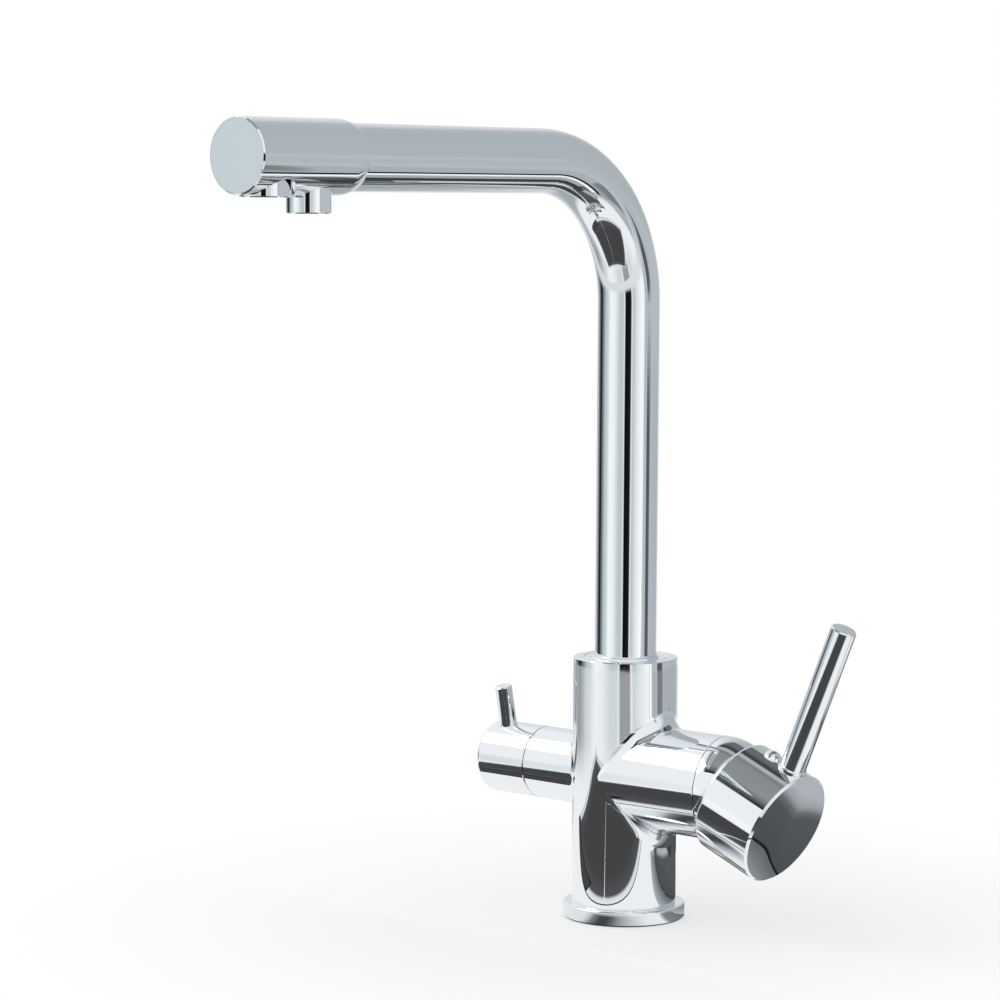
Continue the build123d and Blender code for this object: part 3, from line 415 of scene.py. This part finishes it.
# %% The walls' colours, by compass angle in degrees from the front
WALLS_MEET = 5  # the angle where the left half ends and the right half starts
LEFT_WALLS = [
    (-180, "#AEB5B9"),
    (-168, "#D2D6D8"),
    (-160, "#EEF1F4"),
    (-144, "#EEF1F4"),
    (-139, "#C2C8CD"),
    (-120, "#BCC3C8"),
    (-108, "#C6CBD0"),
    (-101, "#8A8E93"),
    (-90, "#565A60"),
    (-86, "#1E2024"),
    (-78, "#0A0C10"),
    (-75, "#5C6166"),
    (-66, "#858A90"),
    (-58, "#B8C2C6"),
    (-45, "#CBD5D7"),
    (-32, "#FBFCFD"),
    (-14, "#F2F5F6"),
    (WALLS_MEET, "#C2CCCE"),
]
RIGHT_WALLS = [
    (WALLS_MEET, "#C2CCCE"),
    (18, "#BCC8CA"),
    (24, "#E4EBEC"),
    (26.5, "#08090C"),
    (47.5, "#1C1C20"),
    (49.5, "#EAEEF0"),
    (56, "#BCC4C6"),
    (70, "#E2E6E8"),
    (88, "#FDFEFF"),
    (97, "#F6F8FA"),
    (103, "#A8B0B5"),
    (111, "#C4CACE"),
    (113, "#56595C"),
    (126, "#56595C"),
    (128, "#B4BBBF"),
    (180, "#AEB5B9"),
]
print(len(LEFT_WALLS), "colours on the left,", len(RIGHT_WALLS), "on the right")

# %% [markdown]
# ## From a direction to a colour
#
# A ramp runs from 0 to 1, so angles become shares of a full round. The arctangent of a direction's two level
# parts gives its compass angle. The same walls are needed twice, in the world and as the soft reflection in
# the floor, so a function builds them in any node tree.


# %% The walls at a compass angle
def turn_share(angle):
    """A compass angle as a share of the round, where 0 is -180 degrees and 1 is 180 degrees."""
    return (angle + 180) / 360


def round_the_room(stops):
    """Stops in degrees as stops from 0 to 1."""
    return [(turn_share(angle), colour) for angle, colour in stops]


def compass_of(tree, direction):
    """A direction's compass angle as a share of the round, where 0 degrees is the front."""
    x = add(tree, "ShaderNodeSeparateXYZ", {0: direction}, out="X")
    front = add(tree, "ShaderNodeMath", {0: x.node.outputs["Y"], 1: -1.0}, operation="MULTIPLY")
    turn = add(tree, "ShaderNodeMath", {0: x, 1: front}, operation="ARCTAN2")
    return add(tree, "ShaderNodeMapRange", {"Value": turn, "From Min": -pi, "From Max": pi})


def walls_at(tree, compass):
    """The walls' colour at a compass angle."""
    left = add(tree, "ShaderNodeValToRGB", {0: compass}, stops=round_the_room(LEFT_WALLS))
    right = add(tree, "ShaderNodeValToRGB", {0: compass}, stops=round_the_room(RIGHT_WALLS))
    is_right = {0: compass, 1: turn_share(WALLS_MEET)}
    is_right = add(tree, "ShaderNodeMath", is_right, operation="GREATER_THAN")
    return add(tree, "ShaderNodeMix", {0: is_right, 6: left, 7: right}, out=2, data_type="RGBA")


print("the halves meet at", round(turn_share(WALLS_MEET), 3), "of the round")

# %% [markdown]
# ## The studio: floor
#
# The floor is a plain pale sheet that keeps the tap's soft shadow. A round sheet has no corner that could
# show in the chrome. It lies a hair under the deck's level, so that the gasket doesn't flicker in it.

# %% Floor: the sheet
FLOOR_RADIUS = 0.75
FLOOR_DROP = 0.0002

floor_mesh = bpy.data.meshes.new("floor")
sheet = bmesh.new()
bmesh.ops.create_circle(sheet, cap_ends=True, radius=FLOOR_RADIUS, segments=128)
sheet.to_mesh(floor_mesh)
sheet.free()
floor = bpy.data.objects.new("floor", floor_mesh)
floor.location.z = -FLOOR_DROP
bpy.context.scene.collection.objects.link(floor)
print("floor", FLOOR_RADIUS, "m")

# %% [markdown]
# ## What the chrome sees in the floor
#
# For mirror rays the floor's colours are painted, not lit: painted shade round the foot, darkest in front and
# behind, white beyond, a painted reflection of the walls further out, and painted grey behind the tap. The
# shade is a ramp by compass angle, like the walls, and each change is a soft step in distance.

# %% Floor: its painted colours for mirrors, and where they change
# Painted shade round the foot, by compass angle, darkest in front and behind.
FOOT_SHADE = [
    (-180, "#5A5D60"),
    (-110, "#C8CCCE"),
    (-75, "#F2F4F5"),
    (-17, "#E4E8EA"),
    (-9, "#C8CCCE"),
    (-2, "#7C8083"),
    (8, "#44474A"),
    (18, "#44474A"),
    (26, "#6C6F72"),
    (34, "#9CA0A3"),
    (49, "#C8CCCE"),
    (66, "#EBEEEF"),
    (89, "#F4F6F7"),
    (97, "#84888B"),
    (125, "#70747A"),
    (157, "#4A4D50"),
    (180, "#4A4D50"),
]
PALE_HEX = "#F6F8F9"
# Painted grey on the floor behind the tap, seen only by mirrors.
PAINTED_GREY_BEHIND_HEX = "#A9B0B3"
SHADE_EDGE = {"From Min": 0.043, "From Max": 0.054}  # where one look gives way to the next, in metres
BACK_EDGE = {"From Min": 0.06, "From Max": 0.13}  # this one straight back, the others from the middle
# Where the painted reflection of the walls comes in, in metres from the middle.
WALL_REFLECTION_EDGE = {"From Min": 0.3, "From Max": 0.5, "To Max": 0.62}
print(len(FOOT_SHADE), "colours round the foot")

# %% Floor: its painted shade and reflections, as mirrors see it
floor_finish, tree, shader = new_finish("pale studio floor with painted shade for mirrors", "#F4F5F6", metallic=0.0, roughness=0.6)
floor_mesh.materials.append(floor_finish)
place = add(tree, "ShaderNodeTexCoord", out="Object")
distance = add(tree, "ShaderNodeVectorMath", {0: place}, out="Value", operation="LENGTH")
compass = compass_of(tree, place)
# Painted shade round the foot, fading to pale further out.
foot_shade = add(tree, "ShaderNodeValToRGB", {0: compass}, stops=round_the_room(FOOT_SHADE))
clear = add(tree, "ShaderNodeMapRange", {"Value": distance, **SHADE_EDGE}, **SMOOTH)
shade = {0: clear, 6: foot_shade, 7: linear(PALE_HEX)}
shade = add(tree, "ShaderNodeMix", shade, out=2, data_type="RGBA")
y = add(tree, "ShaderNodeSeparateXYZ", {0: place}, out="Y")
# Behind the tap a painted grey takes over.
painted_grey_behind = add(tree, "ShaderNodeMapRange", {"Value": y, **BACK_EDGE}, **SMOOTH)
mirrored = {0: painted_grey_behind, 6: shade, 7: linear(PAINTED_GREY_BEHIND_HEX)}
mirrored = add(tree, "ShaderNodeMix", mirrored, out=2, data_type="RGBA")
# Further out the floor shows a painted reflection of the walls.
painted_wall_reflection = add(tree, "ShaderNodeMapRange", {"Value": distance, **WALL_REFLECTION_EDGE}, **SMOOTH)
mirrored = {0: painted_wall_reflection, 6: mirrored, 7: walls_at(tree, compass)}
mirrored = add(tree, "ShaderNodeMix", mirrored, out=2, data_type="RGBA")
# Mirror rays see these painted colours as a glow, not as light falling on the floor.
mirrored = add(tree, "ShaderNodeEmission", {"Color": mirrored, "Strength": 1.0})
print("floor nodes for a mirror", len(tree.nodes))

# %% [markdown]
# ## What the camera sees in the floor
#
# Towards its rim the floor fades to pure white for the camera alone, so that it runs into the white
# background without an edge. The light path tells the camera's rays from a mirror's.

# %% Floor: its finish for the camera
RIM_EDGE = {"From Min": 0.05, "From Max": 0.28, "To Min": 0.6}  # from the middle, in metres
white = add(tree, "ShaderNodeEmission", {"Color": linear("#FFFFFF"), "Strength": 1.0})
rim = add(tree, "ShaderNodeMapRange", {"Value": distance, **RIM_EDGE}, **SMOOTH)
is_camera = add(tree, "ShaderNodeLightPath", out="Is Camera Ray")
is_mirror = is_camera.node.outputs["Is Glossy Ray"]
faded = add(tree, "ShaderNodeMath", {0: rim, 1: is_camera}, operation="MULTIPLY")
look = add(tree, "ShaderNodeMixShader", {0: is_mirror, 1: shader.outputs[0], 2: mirrored})
look = add(tree, "ShaderNodeMixShader", {0: faded, 1: look, 2: white})
tree.links.new(look, tree.nodes["Material Output"].inputs["Surface"])
print("all floor nodes", len(tree.nodes))

# %% [markdown]
# ## The studio: cards and slats
#
# A photographer lays black cards just outside the picture, and narrow black and white strips behind the
# object. Their reflections draw the dark shapes low on the barrel, the bands along both branches, and the
# fine lines that run along the spout. Only reflections see these cards, so the floor stays white for the
# camera. A card takes a list of colours from its edge inwards, in millimetres, so that it can have a black
# edge and a pale border like a real board.

# %% One card
CARD_RAMP_MM = 60.0


def add_card(name, low, high, border, height, turned):
    """A flat rectangle that only mirrors see, turned round its middle, with colours from the edge inwards."""
    centre, half = [(a + b) / 2 for a, b in zip(low, high)], [(b - a) / 2 for a, b in zip(low, high)]
    corners = [(sx * half[0], sy * half[1], 0) for sx, sy in ((-1, -1), (1, -1), (1, 1), (-1, 1))]
    mesh = bpy.data.meshes.new(name)
    mesh.from_pydata(corners, [], [(0, 1, 2, 3)])
    card = bpy.data.objects.new(name, mesh)
    card.location = (*centre, height)
    card.rotation_euler.z = radians(turned)
    bpy.context.scene.collection.objects.link(card)
    material, tree, shader = new_finish(name, "#000000", metallic=0.0, roughness=1.0, Specular_IOR_Level=0.0)
    place = add(tree, "ShaderNodeTexCoord", out="Object")
    place = add(tree, "ShaderNodeVectorMath", {0: place}, operation="ABSOLUTE")
    inwards = add(tree, "ShaderNodeVectorMath", {0: (*half, 0.0), 1: place}, operation="SUBTRACT")
    x = add(tree, "ShaderNodeSeparateXYZ", {0: inwards}, out="X")
    edge = add(tree, "ShaderNodeMath", {0: x, 1: x.node.outputs["Y"]}, operation="MINIMUM")
    edge = add(tree, "ShaderNodeMapRange", {"Value": edge, "From Max": CARD_RAMP_MM * MM})
    stops = [(inside / CARD_RAMP_MM, colour) for inside, colour in border]
    colour = add(tree, "ShaderNodeValToRGB", {0: edge}, stops=stops)
    tree.links.new(colour, shader.inputs["Emission Color"])
    shader.inputs["Emission Strength"].default_value = 1.0
    mesh.materials.append(material)
    card.visible_camera = card.visible_diffuse = card.visible_shadow = False


print("a card's colours change up to", CARD_RAMP_MM, "mm inwards")

# %% [markdown]
# ## The studio: where the cards lie
#
# The big board in front makes the dark shape on the barrel, and its pale border the light ring in it. A white
# strip on the board is the fine line down the middle of that shape. The card behind the tap darkens the
# handle cap's face, up to a soft glow in one corner. Five strips further back, black and white by turns, draw
# the lines along the spout.

# %% All the cards
BOARD = [(0, "#0C0D0F"), (2.2, "#0C0D0F"), (3, "#F0F3F4"), (12, "#DCE0E2"), (18, "#545557"), (60, "#464647")]
BOARD_SIDE = [(0, "#0C0D0F"), (2.2, "#0C0D0F"), (4, "#464647"), (60, "#464647")]
REAR_BORDER = [(0, "#B4B8BB"), (10, "#979B9E"), (24, "#6C7073"), (60, "#6C7073")]
REAR = [(0, "#1C1D1F"), (1.2, "#1C1D1F"), (2.5, "#4F5255"), (50, "#585B5E"), (60, "#585B5E")]
GLOW = [(0, "#585B5E"), (5, "#6C7073"), (10, "#A0A5A8"), (17, "#B4B9BC"), (60, "#B4B9BC")]
BLACK = [(0, "#101114"), (60, "#101114")]
DARK = [(0, "#3E4043"), (60, "#3E4043")]
WHITE = [(0, "#FFFFFF"), (60, "#FFFFFF")]
UNDER, MIDDLE, OVER, TOP = 0.001, 0.0012, 0.0014, 0.0016  # heights, so that one card covers another
STRIPS_START, STRIPS_END = 0.125, 0.5
CARDS = [  # name, low and high corner in metres, colours, height in metres, turn in degrees
    ("front board", (-0.225, -0.385), (0.31, -0.051), BOARD, MIDDLE, 0.0),
    ("board side", (-0.225, -0.08), (-0.045, -0.051), BOARD_SIDE, OVER, 0.0),
    ("rear border", (-0.03, 0.014), (0.165, 0.16), REAR_BORDER, UNDER, 0.0),
    ("rear card", (-0.03, 0.0405), (0.165, 0.172), REAR, MIDDLE, 0.0),
    ("rear glow", (0.0997, 0.0507), (0.1597, 0.1607), GLOW, OVER, 45.0),
    ("left slat", (-0.06, STRIPS_START), (-0.026, STRIPS_END), BLACK, TOP, 0.0),
    ("left strip", (-0.014, 0.19), (0.03, STRIPS_END), WHITE, TOP, 0.0),
    ("middle slat", (0.05, STRIPS_START), (0.116, STRIPS_END), DARK, TOP, 0.0),
    ("right strip", (0.186, STRIPS_START), (0.228, STRIPS_END), WHITE, TOP, 0.0),
    ("right slat", (0.234, STRIPS_START), (0.276, STRIPS_END), BLACK, TOP, 0.0),
    ("board strip", (-0.00875, -0.361), (-0.00725, -0.059), WHITE, TOP, -4.3),
]
for card in CARDS:
    add_card(*card)
print(len(CARDS), "cards")

# %% [markdown]
# ## The studio: the world
#
# The world is what a mirror sees beyond the floor. From the bottom up it has a pale lower room, the walls and
# a brighter upper room, which fade into one another. The dark slat at the rear ends just below the horizon,
# so the upright tube mirrors it and the spout does not.

# %% World: the room in three layers
UPPER_ROOM = [
    (-180, "#AEB5B8"),
    (-158, "#B4BABD"),
    (-150, "#C8CDD0"),
    (-138, "#DEE2E4"),
    (-126, "#F0F3F5"),
    (-30, "#F2F4F6"),
    (60, "#F0F2F4"),
    (110, "#E6EAEC"),
    (130, "#B0B8BA"),
    (180, "#AEB5B8"),
]
LOWER_ROOM = [
    (-180, "#B0B7BA"),
    (-150, "#E4E8EA"),
    (-95, "#D8DDE0"),
    (90, "#E0E4E6"),
    (115, "#BCC4C7"),
    (180, "#AEB6B9"),
]
REAR_FROM = 105  # degrees; from here round to the back, the wall over the slat has one grey
OVER_SLAT_HEX = "#B9BFC3"
world = bpy.data.worlds.new("studio")
world.use_nodes = True
bpy.context.scene.world = world
sky = world.node_tree
sky.nodes.clear()
ray = add(sky, "ShaderNodeTexCoord", out="Generated")
compass = compass_of(sky, ray)
height = add(sky, "ShaderNodeSeparateXYZ", {0: ray}, out="Z")
height = add(sky, "ShaderNodeMath", {0: height}, operation="ARCSINE")
upper_room = add(sky, "ShaderNodeValToRGB", {0: compass}, stops=round_the_room(UPPER_ROOM))
studio = add(sky, "ShaderNodeValToRGB", {0: compass}, stops=round_the_room(LOWER_ROOM))
walls = walls_at(sky, compass)
rear = {0: compass, 1: turn_share(REAR_FROM)}
rear = add(sky, "ShaderNodeMath", rear, operation="GREATER_THAN")
over_slat = {0: rear, 6: walls, 7: linear(OVER_SLAT_HEX)}
over_slat = add(sky, "ShaderNodeMix", over_slat, out=2, data_type="RGBA")
layers = ((-14, -9, walls), (-4, -1.5, over_slat), (2, 8, upper_room))  # each fades in between two heights
for start, end, colour in layers:
    share = {"Value": height, "From Min": radians(start), "From Max": radians(end)}
    share = add(sky, "ShaderNodeMapRange", share, **SMOOTH)
    studio = add(sky, "ShaderNodeMix", {0: share, 6: studio, 7: colour}, out=2, data_type="RGBA")
print("the room fades at", [layer[:2] for layer in layers], "degrees above the horizon")

# %% [markdown]
# ## The studio: a dark panel overhead
#
# A dark panel hangs over the tap, so that its top surfaces don't wash out. Colours by compass angle would run
# together in one point overhead, so the panel is drawn flat: a ray's sideways parts divided by its upward
# part give the spot that the ray meets. All its sizes are shares of its height above the tap.

# %% World: the panel
PANEL_REACH = 1.3
PANEL_SIDES = {"X": (-0.1, 0.42, 0.15), "Y": (-0.11, 1.11, 0.03)}  # middle, half size and soft edge
LOWEST_RISE = 0.4  # a ray that climbs less than this passes under the panel
PANEL = [
    (-1.3, "#0C0D0F"),
    (-1.1, "#0C0D0F"),
    (-1.05, "#44474A"),
    (-0.85, "#6C7073"),
    (-0.6, "#8E9497"),
    (0.0, "#888D90"),
    (0.1, "#767B7E"),
    (0.19, "#B0B6B9"),
    (0.27, "#B0B6B9"),
    (0.31, "#4A4D50"),
    (0.42, "#3C3F42"),
    (0.5, "#5C6063"),
    (0.6, "#686C70"),
    (1.3, "#686C70"),
]
up = add(sky, "ShaderNodeSeparateXYZ", {0: ray}, out="Z")
inside = add(sky, "ShaderNodeMath", {0: up, 1: LOWEST_RISE}, operation="GREATER_THAN")
for axis, (middle, half, soft) in PANEL_SIDES.items():
    spot = add(sky, "ShaderNodeMath", {0: up.node.outputs[axis], 1: up}, operation="DIVIDE")
    off = add(sky, "ShaderNodeMath", {0: spot, 1: middle}, operation="SUBTRACT")
    off = add(sky, "ShaderNodeMath", {0: off}, operation="ABSOLUTE")
    within = {"Value": off, "From Min": half, "From Max": half - soft}
    within = add(sky, "ShaderNodeMapRange", within, **SMOOTH)
    inside = add(sky, "ShaderNodeMath", {0: inside, 1: within}, operation="MULTIPLY")
along = {"Value": spot, "From Min": -PANEL_REACH, "From Max": PANEL_REACH}
along = add(sky, "ShaderNodeMapRange", along)
stops = [((place / PANEL_REACH + 1) / 2, colour) for place, colour in PANEL]
panel = add(sky, "ShaderNodeValToRGB", {0: along}, stops=stops)
studio = add(sky, "ShaderNodeMix", {0: inside, 6: studio, 7: panel}, out=2, data_type="RGBA")
print("the panel has", len(PANEL), "colours, from front to back")

# %% [markdown]
# ## One world, three readers
#
# The camera gets a plain white background, mirrors and clear pieces get the studio, and matt surfaces get an
# even white light, so that no colour of the walls tints them.

# %% World: who sees what
PLAIN_LIGHT = 0.82
MIRROR_LIGHT = 1.04
plain = add(sky, "ShaderNodeBackground", {"Color": linear("#FFFFFF"), "Strength": PLAIN_LIGHT})
mirrored = add(sky, "ShaderNodeBackground", {"Color": studio, "Strength": MIRROR_LIGHT})
background = add(sky, "ShaderNodeBackground", {"Color": linear("#FFFFFF"), "Strength": 1.0})
is_camera = add(sky, "ShaderNodeLightPath", out="Is Camera Ray")
clear_rays = {0: is_camera.node.outputs["Is Glossy Ray"], 1: is_camera.node.outputs["Is Transmission Ray"]}
clear = add(sky, "ShaderNodeMath", clear_rays, operation="MAXIMUM")
mixed = add(sky, "ShaderNodeMixShader", {0: clear, 1: plain, 2: mirrored})
mixed = add(sky, "ShaderNodeMixShader", {0: is_camera, 1: mixed, 2: background})
add(sky, "ShaderNodeOutputWorld", {"Surface": mixed})
print("world nodes", len(sky.nodes))

# %% [markdown]
# ## The studio: one large soft lamp
#
# A softbox to the upper left gives the shadow its direction. It is large, so the shadow's edge is soft.

# %% Softbox
AIM = Vector((0, 0, 0.12))

softbox_data = bpy.data.lights.new("softbox", "AREA")
softbox_data.shape = "RECTANGLE"
softbox_data.size, softbox_data.size_y = 1.2, 0.7
softbox_data.energy = 5.0
softbox = bpy.data.objects.new("softbox", softbox_data)
softbox.location = (-1.0, -0.75, 1.25)
softbox.rotation_mode = "QUATERNION"
softbox.rotation_quaternion = (AIM - softbox.location).to_track_quat("-Z", "Y")
bpy.context.scene.collection.objects.link(softbox)
print(f"softbox {softbox_data.size:.1f} by {softbox_data.size_y:.1f} m, {softbox.location.length:.1f} m away")

# %% [markdown]
# ## Camera
#
# The camera's place and lens come from the outlines of the turned pieces in the photograph. A long lens from
# about 1.4 m, looking slightly down, gives the same small perspective.

# %% Camera
EYE = Vector((0.85235, -1.05839, 0.29468))
RIGHT = Vector((0.75403388, 0.65680802, 0.00601103))
UP = Vector((-0.06422164, 0.0646144, 0.99584163))
FORWARD = Vector((-0.65368837, 0.75128437, -0.09090274))
FOCAL_PIXELS = 3354.99
IMAGE_PIXELS = 1000
SENSOR_MM = 36.0

camera_data = bpy.data.cameras.new("camera")
camera_data.sensor_width = SENSOR_MM
camera_data.lens = FOCAL_PIXELS * SENSOR_MM / IMAGE_PIXELS
camera = bpy.data.objects.new("camera", camera_data)
turned = Matrix((RIGHT, UP, -FORWARD)).transposed()
camera.matrix_world = Matrix.Translation(EYE) @ turned.to_4x4()
bpy.context.scene.collection.objects.link(camera)
bpy.context.scene.camera = camera
bpy.context.scene.view_settings.view_transform = "Standard"
print(f"lens {camera_data.lens:.1f} mm, {EYE.length:.2f} m away")
